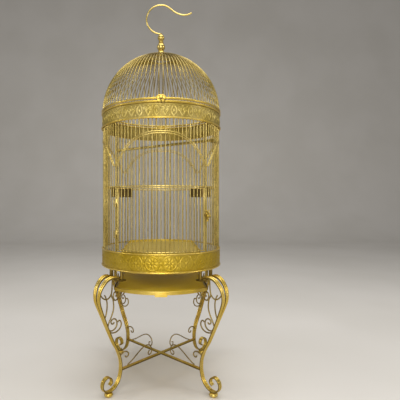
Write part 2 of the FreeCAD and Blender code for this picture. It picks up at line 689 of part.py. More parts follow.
def build_lid_clasp():
    """Stud on the lid's ring, hanging tongue on the stud, and a stop peg on the band's ring."""
    y_face = -(RIM_CIRCLE_R + RIM_RING_R + 2.2)
    z = LID_Z + 2.5
    stud = fused(
        rod(Vector(0, -(RIM_CIRCLE_R + 1.5), z), Vector(0, y_face + PLAY, z), 3.6),
        rod(Vector(0, y_face + 1, z), Vector(0, y_face - 3.6, z), 1.9),
        rod(Vector(0, y_face - 3.0 - PLAY, z), Vector(0, -LID_HINGE_Y - LID_KNUCKLE_R, z), 3.6),
        Part.makeBox(25, 1.6, 6, Vector(-12.5, -(RIM_CIRCLE_R + RIM_RING_R + 0.9), LID_Z - 1)))
    save("clasp_stud", stud)
    hub = rod(Vector(0, y_face, z), Vector(0, y_face - 3.0, z), 5.2)
    y_mid = y_face - 1.5
    tongue = bent_wire([Vector(0, y_mid, z - 3), Vector(-1, y_mid, z - 9), Vector(2.5, y_mid, z - 15),
                        Vector(9, y_mid, z - 16), Vector(11, y_mid, z - 10.5),
                        Vector(7, y_mid, z - 8.5)], 3.0, Vector(0, 1, 0))
    bore = rod(Vector(0, y_face + 1, z), Vector(0, y_face - 4, z), 1.9 + PIN_CLEARANCE)
    save("lid_clasp", fused(hub, tongue).cut(bore))
    peg_x = -8.5
    peg_z = UPPER_BAND_Z[1]
    save("clasp_stop_peg", rod(Vector(peg_x, -(RIM_CIRCLE_R + 1.5), peg_z),
                               Vector(peg_x, y_face - 4.5, peg_z), 2.4))


def build_lid():
    save("lid_ring", hoop(RIM_CIRCLE_R, RIM_RING_R, LID_Z))
    pitch = 360.0 / LID_WIRE_COUNT
    half_pitch = pitch / 2
    save("lid_long_wires", *[lid_wire(half_pitch + step * 2 * pitch, LID_LONG_END_R)
                             for step in range(LID_WIRE_COUNT // 2)])
    save("lid_short_wires", *[lid_wire(half_pitch + (step * 2 + 1) * pitch, LID_SHORT_END_R)
                              for step in range(LID_WIRE_COUNT // 2)])
    crown_z = LID_Z + math.sqrt(LID_R ** 2 - LID_SHORT_END_R ** 2)
    save("lid_crown_ring", hoop(LID_SHORT_END_R - 0.3, 1.6, crown_z - LID_WIRE_D / 2 - 1.3))
    save("finial", finial())
    outer, inner, pin = lid_hinge()
    save("lid_hinge_brackets", *outer)
    save("lid_hinge_leaf", inner)
    save("lid_hinge_pin", pin)
    build_lid_clasp()


def build_hook():
    ball_z, ball_r = HOOK_BALL
    ball = Part.makeSphere(ball_r, Vector(0, 0, ball_z))
    shelf = Part.makeCylinder(20, 10, Vector(0, 0, FINIAL_TOP + PLAY - 10))
    pin = Part.makeCylinder(SWIVEL_PIN_R, 16, Vector(0, 0, FINIAL_TOP - 14))
    neck = Part.makeCylinder(4.2, 5.0, Vector(0, 0, ball_z + ball_r - 2.0))
    save("hook_ball", fused(ball.cut(shelf), pin, neck))
    points = []
    for turn in range(-90, -316, -25):
        angle = math.radians(turn)
        points.append(Vector(HOOK_ARC_R * math.cos(angle), 0,
                             HOOK_ARC_Z + HOOK_ARC_R * math.sin(angle)))
    points += [Vector(48, 0, 1248), Vector(74, 0, 1238), Vector(106, 0, 1245)]
    save("hanging_hook", bent_wire(points, HOOK_WIRE_D, Vector(0, 1, 0)))


# ---------------------------------------------------------------- feeder cups
def cup_block(angle, inset, z_low, height):
    """Box with its back towards the cage wall and rounded upright edges."""
    width, depth, _ = CUP_SIZE
    box = Part.makeBox(depth - 2 * inset, width - 2 * inset, height,
                       Vector(CUP_BACK_R - depth + inset, -width / 2 + inset, z_low))
    edges = [edge for edge in box.Edges
             if abs(edge.tangentAt(edge.FirstParameter).z) > 0.99
             and edge.CenterOfMass.x < CUP_BACK_R - depth / 2]
    block = box.makeFillet(CUP_CORNER_R - inset, edges)
    block.rotate(Vector(0, 0, 0), Vector(0, 0, 1), angle)
    return block


def build_feeder_cups():
    _, _, height = CUP_SIZE
    for name, angle in CUP_ANGLES.items():
        shell = cup_block(angle, 0.0, CUP_TOP_Z - height, height)
        hollow = cup_block(angle, CUP_WALL, CUP_TOP_Z - height + CUP_WALL, height)
        hooks = [ring_hook(angle + hand * CUP_HOOK_ANGLE) for hand in (1, -1)]
        save(f"feeder_cup_{name}", fused(shell.cut(hollow), *hooks))


def ring_hook(angle):
    """Strip from the cup's back over the mid ring, with a short leg down behind the ring."""
    strip, half = 1.4, 2.2
    inner, outer = mid_ring_sides()
    top = MID_RING_Z + MID_RING_R + PLAY
    start = inner - 12.0
    over = Part.makeBox(outer + PLAY + strip - start, 2 * half, strip, Vector(start, -half, top))
    behind = Part.makeBox(strip, 2 * half, 6.0, Vector(outer + PLAY, -half, top - 5.0))
    hook = fused(over, behind)
    hook.rotate(Vector(0, 0, 0), Vector(0, 0, 1), angle)
    return hook


os.makedirs("parts", exist_ok=True)
build_stand()
build_catch_tray()
build_cage()
build_door()
build_lid()
build_hook()
build_feeder_cups()
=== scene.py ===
import logging
import math
from dataclasses import dataclass
from enum import Enum
from typing import Callable, Sequence

import bpy
import numpy as np
from mathutils import Matrix, Vector


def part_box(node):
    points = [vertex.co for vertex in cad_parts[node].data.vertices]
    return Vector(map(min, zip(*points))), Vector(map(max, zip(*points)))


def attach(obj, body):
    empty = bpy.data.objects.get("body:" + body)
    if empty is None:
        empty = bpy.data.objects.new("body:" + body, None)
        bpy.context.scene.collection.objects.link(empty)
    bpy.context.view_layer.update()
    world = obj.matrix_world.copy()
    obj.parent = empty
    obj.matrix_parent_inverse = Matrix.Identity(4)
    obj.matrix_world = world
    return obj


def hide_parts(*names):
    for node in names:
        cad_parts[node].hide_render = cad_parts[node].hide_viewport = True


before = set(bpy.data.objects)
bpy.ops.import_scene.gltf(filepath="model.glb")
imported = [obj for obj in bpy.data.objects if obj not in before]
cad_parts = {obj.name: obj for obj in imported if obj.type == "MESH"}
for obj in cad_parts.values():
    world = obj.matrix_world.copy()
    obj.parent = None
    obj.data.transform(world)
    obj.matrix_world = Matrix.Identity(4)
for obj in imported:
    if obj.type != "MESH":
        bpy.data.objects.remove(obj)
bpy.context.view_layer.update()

MM = 0.001
LOG = logging.getLogger("bird_cage")
Point = Sequence[float]
Object = bpy.types.Object


# ---------------------------------------------------------------- working by hand, in code
def choose(*things: Object) -> None:
    """Deselect everything, then select these objects and make the first one active.

    Args:
        things: The objects to work on.
    """
    bpy.ops.object.select_all(action="DESELECT")
    for thing in things:
        thing.select_set(True)
    bpy.context.view_layer.objects.active = things[0]


def named(name: str) -> Object:
    """Give the active object, just made, its name.

    Args:
        name: The piece's name.

    Returns:
        The object.
    """
    made = bpy.context.active_object
    made.name = name
    made.data.name = name
    return made


def settle(piece: Object) -> Object:
    """Write an object's place, turn and size into its mesh, so that it sits at the origin.

    Args:
        piece: The object to settle.

    Returns:
        The same object.
    """
    choose(piece)
    bpy.ops.object.transform_apply(location=True, rotation=True, scale=True)
    return piece


def finish_modifier(piece: Object, kind: str, **settings: object) -> Object:
    """Add a modifier, set it and apply it.

    Args:
        piece: The object to change.
        kind: The modifier's type.
        settings: Its settings by name.

    Returns:
        The same object.
    """
    choose(piece)
    modifier = piece.modifiers.new(kind.lower(), kind)
    for key, value in settings.items():
        setattr(modifier, key, value)
    bpy.ops.object.modifier_apply(modifier=modifier.name)
    return piece


def face_outwards(piece: Object) -> Object:
    """Merge doubled points and turn every face to the outside.

    Args:
        piece: A closed mesh.

    Returns:
        The same object.
    """
    choose(piece)
    bpy.ops.object.mode_set(mode="EDIT")
    bpy.ops.mesh.select_all(action="SELECT")
    bpy.ops.mesh.remove_doubles(threshold=1e-6)
    bpy.ops.mesh.normals_make_consistent(inside=False)
    bpy.ops.object.mode_set(mode="OBJECT")
    return piece


def smooth(piece: Object, angle: float = 40.0) -> Object:
    """Shade smooth, keeping edges sharper than the angle.

    Args:
        piece: The object to shade.
        angle: The limit in degrees.

    Returns:
        The same object.
    """
    choose(piece)
    bpy.ops.object.shade_smooth_by_angle(angle=math.radians(angle))
    return piece


def joined(name: str, parts: Sequence[Object]) -> Object:
    """Join several meshes into one piece.

    Args:
        name: The name of the piece.
        parts: The meshes.

    Returns:
        The joined object.
    """
    choose(*parts)
    if len(parts) > 1:
        bpy.ops.object.join()
    return named(name)


def lathe(name: str, profile: Sequence[tuple[float, float]], steps: int = 64,
          centre: Point = (0.0, 0.0, 0.0)) -> Object:
    """Turn a profile about an upright axis.

    Args:
        name: The piece's name.
        profile: Radius and height in millimetres, from the bottom of the piece to its top.
        steps: Number of stops round the turn.
        centre: The axis and the height's zero, in metres.

    Returns:
        The turned piece.
    """
    mesh = bpy.data.meshes.new(name)
    points = [(radius * MM, 0.0, height * MM) for radius, height in profile]
    mesh.from_pydata(points, [(i, i + 1) for i in range(len(points) - 1)], [])
    piece = bpy.data.objects.new(name, mesh)
    bpy.context.scene.collection.objects.link(piece)
    finish_modifier(piece, "SCREW", steps=steps, render_steps=steps, use_merge_vertices=True,
                    merge_threshold=1e-6)
    piece.location = centre
    return smooth(face_outwards(settle(piece)))


def wire(name: str, points: Sequence[Point], radii: Sequence[float] | float, sides: int = 3,
         closed: bool = False, smoothness: int = 10) -> Object:
    """Bend a round wire along a smooth line through points.

    Args:
        name: The piece's name.
        points: Points on the wire's centre line, in millimetres.
        radii: The wire's radius in millimetres, one for all or one for each point.
        sides: Bevel resolution; the wire has 2 * sides + 4 sides.
        closed: Whether the wire closes on itself.
        smoothness: Steps between two points.

    Returns:
        The wire as a mesh.
    """
    bpy.ops.object.select_all(action="DESELECT")
    data = bpy.data.curves.new(name, "CURVE")
    data.dimensions = "3D"
    data.resolution_u = smoothness
    data.bevel_depth = 1.0
    data.bevel_resolution = sides
    data.use_fill_caps = True
    spline = data.splines.new("BEZIER")
    spline.bezier_points.add(len(points) - 1)
    sizes = [radii] * len(points) if isinstance(radii, (int, float)) else radii
    for knot, point, size in zip(spline.bezier_points, points, sizes):
        knot.co = Vector(point) * MM
        knot.radius = size * MM
        knot.handle_left_type = knot.handle_right_type = "AUTO"
    spline.use_cyclic_u = closed
    curve = bpy.data.objects.new(name, data)
    bpy.context.scene.collection.objects.link(curve)
    choose(curve)
    bpy.ops.object.convert(target="MESH")
    return smooth(face_outwards(bpy.context.active_object), 60.0)


def round_the_axis(radius: float, angle: float, height: float) -> Vector:
    """Point at a distance, angle in degrees and height round the cage's axis.

    Args:
        radius: The distance from the axis.
        angle: The angle from +X in degrees.
        height: The height, in the same unit as the radius.

    Returns:
        The point.
    """
    turn = math.radians(angle)
    return Vector((radius * math.cos(turn), radius * math.sin(turn), height))


# ---------------------------------------------------------------- paint
class Body(Enum):
    """The bodies that move against each other."""

    STAND = "stand"
    TRAY = "catch_tray"
    CAGE = "cage"
    DOOR = "door"
    LATCH = "door_latch"
    LID = "lid"
    CLASP = "lid_clasp"
    HOOK = "hook"
    CUP_LEFT = "feeder_cup_left"
    CUP_RIGHT = "feeder_cup_right"


class NodeTools:
    """Short ways to place and join shader nodes in one tree."""

    def __init__(self, tree: bpy.types.NodeTree) -> None:
        """Keep the tree that the nodes go in."""
        self.tree = tree

    def add(self, kind: str, **settings: object) -> bpy.types.Node:
        """Place a node.

        Args:
            kind: The node's type.
            settings: Properties, or input values where the name is one of the node's inputs.

        Returns:
            The node.
        """
        node = self.tree.nodes.new(kind)
        for key, value in settings.items():
            if hasattr(node, key):
                setattr(node, key, value)
            else:
                node.inputs[key].default_value = value
        return node

    def join(self, start: bpy.types.NodeSocket, end: bpy.types.NodeSocket) -> None:
        """Join an output to an input."""
        self.tree.links.new(start, end)

    def noise(self, vector: bpy.types.NodeSocket, scale: float, detail: float,
              roughness: float = 0.5) -> bpy.types.NodeSocket:
        """Place a noise texture.

        Args:
            vector: The coordinates.
            scale: Blotches to a metre.
            detail: Octaves.
            roughness: How strong the fine octaves are.

        Returns:
            The noise value.
        """
        node = self.add("ShaderNodeTexNoise", Scale=scale, Detail=detail, Roughness=roughness)
        self.join(vector, node.inputs["Vector"])
        return node.outputs["Fac"]

    def ramp(self, value: bpy.types.NodeSocket, low: float, high: float) -> bpy.types.NodeSocket:
        """Stretch the part of a value between low and high to 0 and 1."""
        node = self.add("ShaderNodeMapRange", interpolation_type="SMOOTHSTEP")
        node.inputs["From Min"].default_value = low
        node.inputs["From Max"].default_value = high
        self.join(value, node.inputs["Value"])
        return node.outputs["Result"]

    def mixed(self, mask: bpy.types.NodeSocket, a: object, b: object,
              blend: str = "MIX") -> bpy.types.NodeSocket:
        """Mix two colours, each a value or a socket, by a mask."""
        node = self.add("ShaderNodeMix", data_type="RGBA", blend_type=blend)
        self.join(mask, node.inputs[0])
        for socket, colour in ((node.inputs[6], a), (node.inputs[7], b)):
            if isinstance(colour, bpy.types.NodeSocket):
                self.join(colour, socket)
            else:
                socket.default_value = (*colour, 1.0)
        return node.outputs[2]

    def maths(self, operation: str, a: object, b: object) -> bpy.types.NodeSocket:
        """Do a sum on two values or sockets."""
        node = self.add("ShaderNodeMath", operation=operation)
        for socket, value in zip(node.inputs, (a, b)):
            if isinstance(value, bpy.types.NodeSocket):
                self.join(value, socket)
            else:
                socket.default_value = value
        return node.outputs[0]


def aged_paint_and_shade_group() -> bpy.types.NodeTree:
    """Build the shared effect of gold paint finished by hand-rubbing, with painted shade.

    The group gives a colour, a roughness and a height that change over the surface: cloudy paint,
    darker clouds of glazing, painted shade in hollows, grooves and along band edges from the
    recess shade input, small pale worn spots and a fine orange-peel skin.

    Returns:
        The node group.
    """
    group = bpy.data.node_groups.new("aged_paint_and_shade", "ShaderNodeTree")
    sockets = group.interface
    for name, kind, value in (("Vector", "NodeSocketVector", None),
                              ("Paint", "NodeSocketColor", (0.6, 0.4, 0.06, 1.0)),
                              ("Glaze And Shade", "NodeSocketColor", (0.2, 0.12, 0.02, 1.0)),
                              ("Worn", "NodeSocketColor", (0.9, 0.75, 0.35, 1.0)),
                              ("Recess Shade", "NodeSocketFloat", 0.0),
                              ("Glaze Amount", "NodeSocketFloat", 0.4),
                              ("Worn Amount", "NodeSocketFloat", 0.3),
                              ("Base Roughness", "NodeSocketFloat", 0.35)):
        made = sockets.new_socket(name=name, in_out="INPUT", socket_type=kind)
        if value is not None:
            made.default_value = value
    for name, kind in (("Color", "NodeSocketColor"), ("Roughness", "NodeSocketFloat"),
                       ("Height", "NodeSocketFloat")):
        sockets.new_socket(name=name, in_out="OUTPUT", socket_type=kind)
    tools = NodeTools(group)
    inner, outer = tools.add("NodeGroupInput"), tools.add("NodeGroupOutput")
    given = inner.outputs
    cloud = tools.noise(given["Vector"], 14.0, 4.0, 0.6)
    grime = tools.ramp(tools.noise(given["Vector"], 55.0, 6.0, 0.65), 0.42, 0.70)
    speck = tools.ramp(tools.noise(given["Vector"], 420.0, 3.0, 0.6), 0.60, 0.74)
    peel = tools.noise(given["Vector"], 900.0, 2.0)
    cloudy = tools.maths("MULTIPLY", tools.ramp(cloud, 0.35, 0.75), 0.35)
    soft = tools.mixed(cloudy, given["Paint"], given["Worn"])
    glaze_and_shade_mask = tools.maths("MULTIPLY", grime, given["Glaze Amount"])
    # Painted shade: the recess shade input is high in hollows, grooves and along band edges. It
    # pulls the colour to the dark colour and adds roughness, on top of the random clouds of
    # glazing.
    glaze_and_shade_mask = tools.maths("MAXIMUM", glaze_and_shade_mask, given["Recess Shade"])
    glazed_and_shaded = tools.mixed(glaze_and_shade_mask, soft, given["Glaze And Shade"])
    worn = tools.maths("MULTIPLY", speck, given["Worn Amount"])
    tools.join(tools.mixed(worn, glazed_and_shaded, given["Worn"]), outer.inputs["Color"])
    rough = tools.maths("ADD", given["Base Roughness"], tools.maths("MULTIPLY", glaze_and_shade_mask, 0.22))
    rough = tools.maths("ADD", rough, tools.maths("MULTIPLY", peel, 0.08))
    tools.join(rough, outer.inputs["Roughness"])
    height = tools.maths("SUBTRACT", peel, tools.maths("MULTIPLY", speck, 0.6))
    tools.join(height, outer.inputs["Height"])
    return group


@dataclass(frozen=True)
class PaintFinish:
    """One painted finish, in colours as a painter would mix them.

    Attributes:
        name: The material's name.
        slot: The record's material slot; not used.
        paint: The main colour, linear.
        glaze_and_shade: The darker colour of the random clouds of glazing, and of the painted
            shade in hollows, grooves and band edges.
        worn: The pale colour of places worn by rubbing.
        glaze_amount: How much of the surface the clouds of glazing cover.
        worn_amount: How strong the worn specks are.
        metallic: Metal flake in the paint.
        roughness: The paint's own roughness.
        coat: Weight of the clear lacquer.
        bump: Depth of the paint's skin in metres.
        reads_painted_shade: Whether the piece carries an attribute of painted shade for its
            hollows, grooves and edges.
    """

    name: str
    slot: str
    paint: tuple[float, float, float]
    glaze_and_shade: tuple[float, float, float]
    worn: tuple[float, float, float]
    glaze_amount: float = 0.4
    worn_amount: float = 0.3
    metallic: float = 0.85
    roughness: float = 0.33
    coat: float = 0.12
    bump: float = 0.00012
    reads_painted_shade: bool = False

    def build(self, group: bpy.types.NodeTree) -> bpy.types.Material:
        """Make the material.

        Args:
            group: The shared effect of aged paint and painted shade.

        Returns:
            The material.
        """
        material = bpy.data.materials.new(self.name)
        material.use_nodes = True
        tools = NodeTools(material.node_tree)
        shader = material.node_tree.nodes["Principled BSDF"]
        place = tools.add("ShaderNodeTexCoord")
        effect = tools.add("ShaderNodeGroup")
        effect.node_tree = group
        tools.join(place.outputs["Object"], effect.inputs["Vector"])
        for socket, colour in (("Paint", self.paint), ("Glaze And Shade", self.glaze_and_shade), ("Worn", self.worn)):
            effect.inputs[socket].default_value = (*colour, 1.0)
        effect.inputs["Glaze Amount"].default_value = self.glaze_amount
        effect.inputs["Worn Amount"].default_value = self.worn_amount
        effect.inputs["Base Roughness"].default_value = self.roughness
        # Painted shade: the mesh's painted_shade attribute drives the recess shade input.
        if self.reads_painted_shade:
            relief = tools.add("ShaderNodeAttribute", attribute_name="painted_shade")
            tools.join(relief.outputs["Fac"], effect.inputs["Recess Shade"])
        tools.join(effect.outputs["Color"], shader.inputs["Base Color"])
        tools.join(effect.outputs["Roughness"], shader.inputs["Roughness"])
        bump = tools.add("ShaderNodeBump", Strength=0.5, Distance=self.bump)
        tools.join(effect.outputs["Height"], bump.inputs["Height"])
        tools.join(bump.outputs["Normal"], shader.inputs["Normal"])
        shader.inputs["Metallic"].default_value = self.metallic
        shader.inputs["Coat Weight"].default_value = self.coat
        shader.inputs["Coat Roughness"].default_value = 0.18
        return material


class Finish(Enum):
    """The finishes on the cage and its stand."""

    WIRE = PaintFinish("pale_gold_wire", "gold_wire", (0.36, 0.265, 0.062), (0.11, 0.075, 0.012),
                       (0.84, 0.70, 0.28), glaze_amount=0.10, worn_amount=0.05, roughness=0.22)
    ARCH = PaintFinish("bright_gold_wire", "gold_wire", (0.66, 0.50, 0.13), (0.20, 0.13, 0.02),
                       (0.95, 0.82, 0.40), glaze_amount=0.08, worn_amount=0.05, roughness=0.22)
    RING = PaintFinish("rubbed_gold_ring", "gold_band", (0.66, 0.46, 0.06), (0.20, 0.12, 0.015),
                       (0.95, 0.80, 0.34), glaze_amount=0.22, roughness=0.25)
    # The second colour of the pressed bands and of the fluted straps is also their painted shade
    # in hollows, grooves and edges.
    PRESSED = PaintFinish("pressed_gold_band", "gold_band", (0.43, 0.29, 0.010),
                          (0.14, 0.085, 0.004), (0.80, 0.62, 0.14), glaze_amount=0.16,
                          roughness=0.42, reads_painted_shade=True)
    SCROLLED = PaintFinish("pressed_pale_band", "gold_band", (0.50, 0.38, 0.075),
                           (0.17, 0.11, 0.015), (0.90, 0.78, 0.38), glaze_amount=0.16,
                           roughness=0.40, reads_painted_shade=True)
    PAN = PaintFinish("gold_floor_pan", "gold_tray", (0.60, 0.43, 0.03), (0.32, 0.20, 0.01),
                      (0.80, 0.62, 0.14), glaze_amount=0.2, worn_amount=0.15, metallic=0.3,
                      roughness=0.38)
    SHEET = PaintFinish("smooth_gold_sheet", "gold_tray", (0.90, 0.60, 0.02),
                        (0.60, 0.37, 0.01), (0.95, 0.72, 0.08), glaze_amount=0.12,
                        worn_amount=0.10, metallic=0.0, roughness=0.45, coat=0.05)
    EDGE = PaintFinish("bright_tray_edge", "gold_tray", (0.62, 0.43, 0.05), (0.25, 0.15, 0.01),
                       (0.95, 0.80, 0.34), glaze_amount=0.2, roughness=0.28)
    ZINC = PaintFinish("zinc_floor_sheet", "grey_floor", (0.42, 0.41, 0.39), (0.24, 0.23, 0.21),
                       (0.60, 0.59, 0.57), glaze_amount=0.3, worn_amount=0.2, metallic=0.6,
                       roughness=0.45, coat=0.0)
    # Its very dark second colour is mostly the painted shade in the flutes' grooves.
    STRAP = PaintFinish("fluted_gold_strap", "gold_stand", (0.64, 0.44, 0.06),
                        (0.10, 0.06, 0.008), (0.95, 0.80, 0.34), glaze_amount=0.15,
                        roughness=0.22, reads_painted_shade=True)
    DARK = PaintFinish("dark_gold_iron", "gold_stand", (0.20, 0.13, 0.02), (0.06, 0.04, 0.01),
                       (0.50, 0.38, 0.10), glaze_amount=0.5, roughness=0.42)
    SCROLL = PaintFinish("dark_olive_scroll", "gold_stand", (0.24, 0.165, 0.035),
                         (0.06, 0.04, 0.01), (0.66, 0.50, 0.16), glaze_amount=0.5,
                         roughness=0.32)
    TURNED = PaintFinish("turned_gold", "gold_finial", (0.55, 0.39, 0.07), (0.14, 0.09, 0.015),
                         (0.95, 0.82, 0.38), glaze_amount=0.15, worn_amount=0.1, roughness=0.22)
    BRONZE = PaintFinish("dark_bronze_cup", "bronze_cup", (0.16, 0.105, 0.03),
                         (0.04, 0.027, 0.008), (0.42, 0.30, 0.10), glaze_amount=0.5,
                         roughness=0.40)


NODE_FINISHES = {
    Finish.ARCH: ("arch_wires", "mid_ring", "door_rails", "hanging_hook"),
    Finish.WIRE: ("body_wires", "ribs", "door_wires", "door_edge_bars", "lid_long_wires",
                  "lid_short_wires", "lid_crown_ring", "floor_support_bars",
                  "floor_support_ring", "perch_rod", "perch_washers",
                  "door_hinge_sockets", "door_hinge_pintles", "latch_stud", "latch_lever",
                  "latch_keeper"),
    Finish.RING: ("base_top_bead", "base_bottom_ring", "upper_band_lower_ring",
                  "upper_band_rim_ring", "lid_ring", "lid_hinge_brackets", "lid_hinge_pin",
                  "lid_hinge_leaf", "clasp_stud", "clasp_stop_peg"),
    Finish.PRESSED: ("base_band",),
    Finish.SCROLLED: ("upper_band",),
    Finish.ZINC: ("floor_plate",),
    Finish.PAN: ("floor_pan",),
    Finish.SHEET: ("catch_tray_sheet",),
    Finish.EDGE: ("catch_tray_rolled_rim", "catch_tray_front_lip", "catch_tray_pull"),
    Finish.STRAP: ("leg_front_left", "leg_front_right", "leg_rear_left", "leg_rear_right",
                   "foot_pads", "stretcher_long_bar", "stretcher_half_bars"),
    Finish.DARK: ("corner_brackets", "cage_rest_posts", "lid_clasp", "tray_rails",
                  "tray_cross_ties", "tray_back_stop"),
    Finish.SCROLL: ("leg_scrollwork_front_left", "leg_scrollwork_front_right",
                    "leg_scrollwork_rear_left", "leg_scrollwork_rear_right",
                    "stretcher_scrollwork"),
    Finish.TURNED: ("finial", "hook_ball"),
    Finish.BRONZE: ("feeder_cup_left", "feeder_cup_right"),
}


class PaintShop:
    """Holds the made materials and dresses the pieces with them."""

    def __init__(self) -> None:
        """Make the shared effect and every finish."""
        group = aged_paint_and_shade_group()
        self.materials = {finish: finish.value.build(group) for finish in Finish}

    def dress(self, piece: Object, finish: Finish) -> Object:
        """Give a piece one finish all over.

        Args:
            piece: The piece.
            finish: Its finish.

        Returns:
            The same piece.
        """
        piece.data.materials.clear()
        piece.data.materials.append(self.materials[finish])
        return piece

    def dress_frame(self) -> None:
        """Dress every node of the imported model."""
        for finish, nodes in NODE_FINISHES.items():
            for node in nodes:
                self.dress(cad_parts[node], finish)


# ---------------------------------------------------------------- pressed sheet bands
def ridge(distance: np.ndarray, width: float) -> np.ndarray:
    """Soft ridge, 1 high on its line and fading over the width in millimetres."""
    return np.exp(-(distance / width) ** 2)


def dome(distance: np.ndarray, radius: float) -> np.ndarray:
    """Round boss, 1 high in the middle and 0 from the radius outwards."""
    return np.sqrt(np.clip(1.0 - (distance / radius) ** 2, 0.0, 1.0))


ROSETTES = 24
BASE_RADIUS = 200.0                     # the base band's own radius in millimetres
CELL_WIDTH = 2.0 * math.pi * BASE_RADIUS / ROSETTES


def rosette_relief(across: np.ndarray, up: np.ndarray, count: np.ndarray) -> np.ndarray:
    """Relief of the base band: an eight-petalled flower in a ring, with leaves between rings.

    Args:
        across: Distance from the middle of the motif along the band, in millimetres.
        up: Height above the middle of the band, in millimetres.
        count: Number of the motif; not used, as all are alike here.

    Returns:
        The relief in millimetres.
    """
    away, turn = np.hypot(across, up), np.arctan2(up, across)
    petal = np.abs(np.cos(4.0 * turn)) ** 0.7 * np.clip(1.0 - ((away - 11.0) / 6.6) ** 2, 0.0, 1.0)
    relief = 1.9 * ridge(away - 20.5, 1.7) + 1.7 * petal + 2.6 * dome(away, 4.6)
    relief += 0.8 * ridge(away - 16.8, 0.9)
    edge = CELL_WIDTH / 2 - np.abs(across)
    leaf = np.hypot(edge, np.abs(up) - 15.0)
    fan = np.abs(np.cos(3.0 * np.arctan2(np.abs(up) - 8.0, edge)))
    relief += 1.5 * fan * np.clip(1.0 - (leaf / 8.5) ** 2, 0.0, 1.0)
    relief += 1.6 * dome(np.hypot(edge, up), 3.4)
    return relief


def scroll_relief(across: np.ndarray, up: np.ndarray, count: np.ndarray) -> np.ndarray:
    """Relief of the upper band: hearts of two scrolls, turn about with pierced-looking lozenges.

    Args:
        across: Distance from the middle of the motif along the band, in millimetres.
        up: Height above the middle of the band, in millimetres.
        count: Number of the motif, odd for a lozenge.

    Returns:
        The relief in millimetres.
    """
    side = np.abs(across)
    curl = np.hypot(side - 7.2, up - 4.5)
    spiral = np.arctan2(up - 4.5, side - 7.2)
    heart = 1.7 * ridge(curl - 5.2 - 0.9 * np.cos(spiral), 1.3)
    heart += 1.6 * ridge(side - 0.55 * (up + 15.0), 1.5) * (up < 2.0) * (up > -15.0)
    heart += 1.8 * dome(curl, 2.2) + 1.5 * dome(np.hypot(side, up - 13.5), 2.8)
    lozenge = 1.7 * ridge(np.hypot(0.8 * side, 0.62 * np.abs(up)) + 0.35 * side - 9.0, 1.2)
    lozenge += 1.6 * dome(np.hypot(side * 1.4, up * 0.8), 3.8)
    lozenge += 1.3 * dome(np.hypot(side - 14.0, np.abs(up) - 13.5), 3.2)
    return np.where(count % 2 == 1, lozenge, heart)


@dataclass
class PressedBand:
    """Thin sheet ring with a pattern pressed outwards, in place of a plain band.

    Attributes:
        node: The plain band that it stands for.
        motifs: Number of motifs round the band.
        cells: Mesh cells across a motif and up the band.
        relief: Gives the pattern's height in millimetres.
        finish: The band's finish.
        glaze_and_shade: How dark the painted shade in the relief's hollows is, up to 1.
        turn: Angle in degrees of the first motif's edge.
        wall: Thickness of the sheet in metres.
        edge: Distance of the line of beads from the band's edges in millimetres.
        beads: Beads to each motif.
        tallest: Greatest relief in millimetres, before the sheet's spring back.
        spring: The part of the relief that is left after the sheet springs back.
    """

    node: str
    motifs: int
    cells: tuple[int, int]
    relief: Callable[[np.ndarray, np.ndarray, np.ndarray], np.ndarray]
    finish: Finish
    glaze_and_shade: float
    turn: float = 0.0
    wall: float = 0.0007
    edge: float = 3.4
    beads: float = 12.0
    tallest: float = 2.7
    spring: float = 0.75

    def build(self, shop: "PaintShop") -> Object:
        """Make the band and dress it.

        Args:
            shop: The paint shop.

        Returns:
            The band.
        """
        low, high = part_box(self.node)
        ground = high[0] - 0.0001
        bpy.ops.object.select_all(action="DESELECT")
        bpy.ops.mesh.primitive_grid_add(x_subdivisions=self.motifs * self.cells[0],
                                        y_subdivisions=self.cells[1], size=1.0)
        band = named(f"{self.node}_pressed")
        flat = np.empty(len(band.data.vertices) * 3)
        band.data.vertices.foreach_get("co", flat)
        flat = flat.reshape(-1, 3)
        part_of_turn, part_of_height = flat[:, 0] + 0.5, flat[:, 1] + 0.5
        height = high[2] - low[2]
        along = part_of_turn * self.motifs
        count = np.floor(np.minimum(along, self.motifs - 1e-6))
        width = 2.0 * math.pi * ground / self.motifs
        across = (along - count - 0.5) * width / MM
        up = (part_of_height - 0.5) * height / MM
        border = height / 2 / MM - np.abs(up)
        inside = np.clip((border - self.edge - 0.2) / 1.2, 0.0, 1.0)
        relief = self.relief(across, up, count) * inside
        beads = 0.5 + 0.5 * np.cos(along * 2.0 * math.pi * self.beads)
        relief += (0.5 + 0.5 * beads) * ridge(border - self.edge, 0.8)
        angle = part_of_turn * 2.0 * math.pi + math.radians(self.turn)
        radius = ground + np.minimum(relief, self.tallest) * MM * self.spring
        place = np.stack([radius * np.cos(angle), radius * np.sin(angle),
                          low[2] + part_of_height * height], axis=1)
        band.data.vertices.foreach_set("co", place.ravel())
        # Painted shade: the relief's hollows darken with their depth, and a painted shadow of the
        # rings runs along both edges of the band.
        painted_shade = band.data.attributes.new("painted_shade", "FLOAT", "POINT")
        relief_shade = np.clip(1.0 - relief / 0.9, 0.0, 1.0) ** 1.5 * self.glaze_and_shade
        painted_shade.data.foreach_set("value", np.maximum(relief_shade, np.clip(1.3 - border / 3.0, 0, 1)))
        choose(band)
        bpy.ops.object.mode_set(mode="EDIT")
        bpy.ops.mesh.select_all(action="SELECT")
        bpy.ops.mesh.remove_doubles(threshold=1e-6)
        bpy.ops.object.mode_set(mode="OBJECT")
        finish_modifier(band, "SOLIDIFY", thickness=self.wall, offset=-1.0)
        smooth(band, 50.0)
        shop.dress(band, self.finish)
        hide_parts(self.node)
        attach(band, Body.CAGE.value)
        LOG.info("%s: %d motifs", band.name, self.motifs)
        return band


